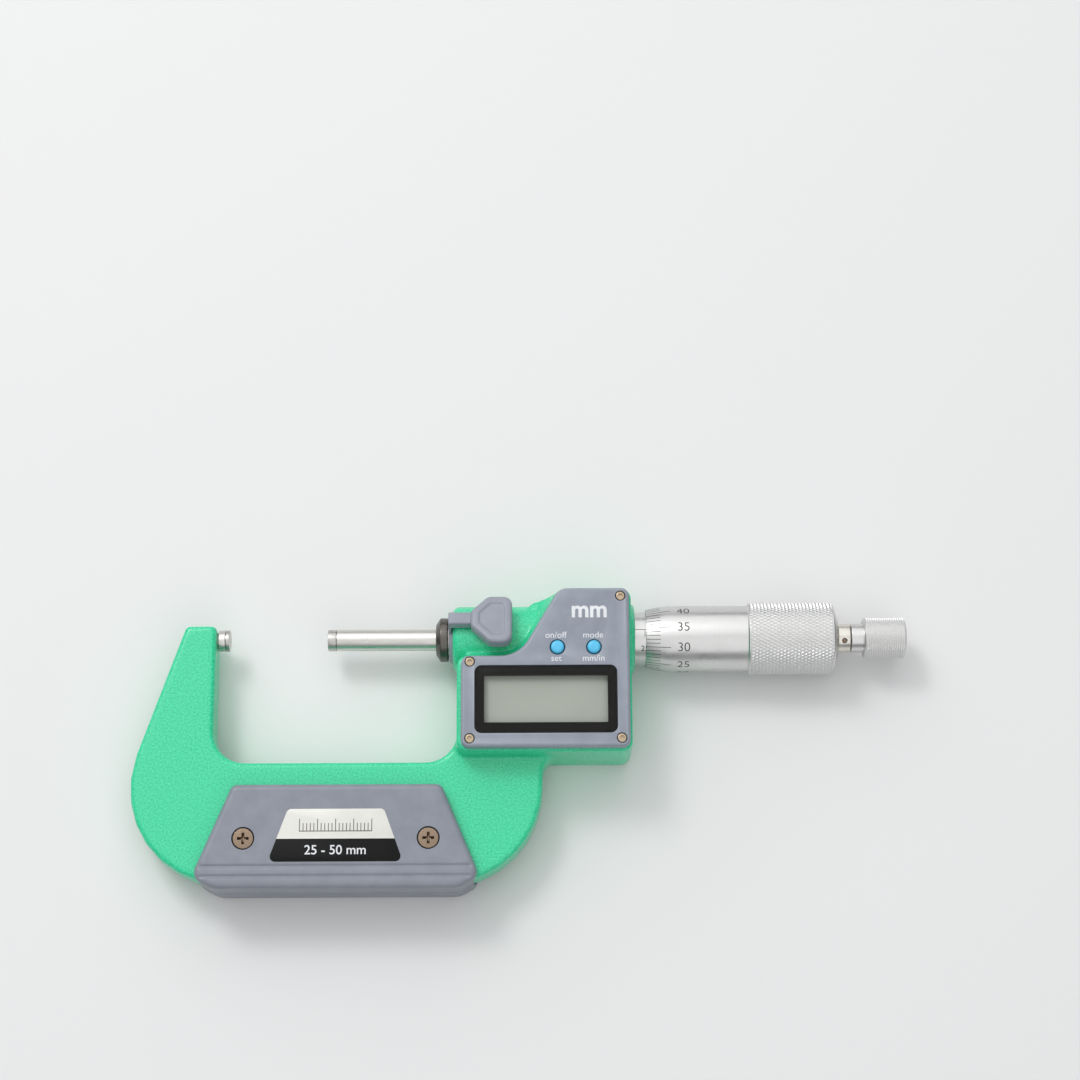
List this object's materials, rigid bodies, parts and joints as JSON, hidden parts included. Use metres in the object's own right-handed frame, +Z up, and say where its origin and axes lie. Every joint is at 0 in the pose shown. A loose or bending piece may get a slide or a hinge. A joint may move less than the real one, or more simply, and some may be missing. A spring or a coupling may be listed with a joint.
{
  "type": "digital outside micrometer",
  "caption": "Digital outside micrometer with a deep enamelled bow, display housing, lock lever, graduated thimble and ratchet knob; turning the thimble screws the spindle towards the anvil.",
  "frame": {"origin": "centre of the anvil's measuring face", "axes": "+X along the measuring axis from the anvil to the ratchet, +Y from the bow's bottom towards the measuring axis, +Z out of the display; it lies on its back, so +Z is up"},
  "size_m": [0.1981, 0.0759, 0.0244],
  "materials": {
    "green_enamel": "hammered enamel over a casting",
    "grey_plastic": "fine matt",
    "satin_chrome": "satin plated",
    "ground_steel": "ground",
    "carbide": "lapped hard metal",
    "dark_steel": "blackened",
    "bronzed_screw_steel": "bronzed",
    "black_rubber": "matt",
    "window_plastic": "clear with a black printed border",
    "screen_glass": "grey-green liquid crystal screen",
    "blue_button_plastic": "smooth",
    "circuit_board": "lacquered board",
    "label_foil": "printed foil",
    "brass": "turned"
  },
  "bodies": {
    "frame_body": {"frame": "green_enamel", "anvil": "ground_steel", "anvil_tip": "carbide", "front_insulation_plate": "grey_plastic", "back_insulation_plate": "grey_plastic", "plate_screw_front_left": "bronzed_screw_steel", "plate_screw_front_right": "bronzed_screw_steel", "plate_screw_back_left": "bronzed_screw_steel", "plate_screw_back_right": "bronzed_screw_steel", "range_label": "label_foil", "display_cover": "grey_plastic", "cover_gasket": "black_rubber", "display_window": "window_plastic", "lcd_panel": "screen_glass", "circuit_board": "circuit_board", "button_membrane": "black_rubber", "cover_screw_1": "bronzed_screw_steel", "cover_screw_2": "bronzed_screw_steel", "cover_screw_3": "bronzed_screw_steel", "cover_screw_4": "bronzed_screw_steel", "battery": "satin_chrome", "battery_cap": "grey_plastic", "battery_seal": "black_rubber", "battery_contact": "brass", "seal_nut": "dark_steel", "spindle_seal": "black_rubber", "spindle_bush": "ground_steel", "encoder_stator": "circuit_board", "inner_sleeve": "ground_steel", "adjusting_nut": "ground_steel", "graduated_sleeve": "satin_chrome"},
    "rotor_body": {"encoder_rotor": "brass"},
    "spindle_body": {"spindle": "ground_steel", "spindle_tip": "carbide", "thimble": "satin_chrome", "ratchet_neck": "satin_chrome", "ratchet_stud": "ground_steel", "click_washer": "ground_steel", "ratchet_spring": "ground_steel"},
    "ratchet_body": {"ratchet_knob": "satin_chrome"},
    "lever_body": {"lock_lever": "grey_plastic"},
    "on_off_button_body": {"on_off_button": "blue_button_plastic"},
    "mode_button_body": {"mode_button": "blue_button_plastic"}
  },
  "joints": [
    {"name": "thimble_turn", "type": "hinge", "parent": "frame_body", "child": "rotor_body", "pos_m": [0.0835, 0, 0], "axis": [1, 0, 0], "range_deg": [-254, 17756]},
    {"name": "spindle_travel", "type": "slide", "parent": "rotor_body", "child": "spindle_body", "axis": [1, 0, 0], "range_m": [-0.00035, 0.02465]},
    {"name": "ratchet_turn", "type": "hinge", "parent": "spindle_body", "child": "ratchet_body", "pos_m": [0.167, 0, 0], "axis": [1, 0, 0], "continuous": true},
    {"name": "lock_lever_turn", "type": "hinge", "parent": "frame_body", "child": "lever_body", "pos_m": [0.0585, 0, 0], "axis": [1, 0, 0], "range_deg": [-24, 6]},
    {"name": "on_off_press", "type": "slide", "parent": "frame_body", "child": "on_off_button_body", "axis": [0, 0, -1], "range_m": [0, 0.0005], "stiffness_N_per_m": 300, "springref_m": -0.001},
    {"name": "mode_press", "type": "slide", "parent": "frame_body", "child": "mode_button_body", "axis": [0, 0, -1], "range_m": [0, 0.0005], "stiffness_N_per_m": 300, "springref_m": -0.001}
  ],
  "couplings": [
    {"joint": "thimble_turn", "follows": "spindle_travel", "rad_per_m": 12566}
  ]
}
